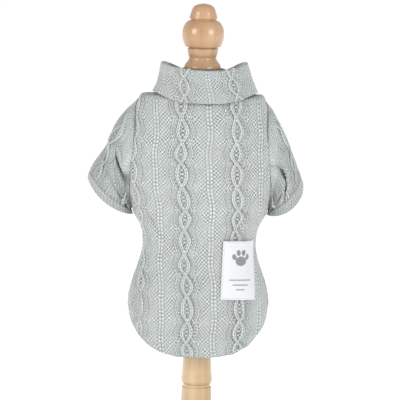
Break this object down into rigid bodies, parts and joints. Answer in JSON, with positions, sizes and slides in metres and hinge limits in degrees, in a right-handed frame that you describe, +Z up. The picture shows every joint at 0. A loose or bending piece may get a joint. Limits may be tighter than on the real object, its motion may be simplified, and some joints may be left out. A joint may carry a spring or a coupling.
{
  "type": "dog sweater on dress form stand",
  "caption": "Cable-knit dog sweater with folded turtleneck, short ribbed sleeves, rounded tail hem and a sewn-on patch, worn on a limbless dress form with turned post, knob and round base.",
  "frame": {"origin": "middle of the base's underside", "axes": "+Z up along the post, -Y towards the side that the sweater's back panel faces, +X to that viewer's right"},
  "size_m": [0.2347, 0.18, 0.4841],
  "materials": {
    "knit": "matte cable knit",
    "patch_cloth": "smooth woven label",
    "form_jersey": "matte jersey",
    "cap_cloth": "matte woven",
    "beech": "satin varnish"
  },
  "bodies": {
    "root": {"back_panel": "knit", "belly_panel": "knit", "left_sleeve": "knit", "right_sleeve": "knit", "left_cuff": "knit", "right_cuff": "knit", "collar": "knit", "patch": "patch_cloth", "form_body": "form_jersey", "neck_cap": "cap_cloth", "finial": "beech", "post": "beech", "base": "beech"}
  },
  "joints": []
}
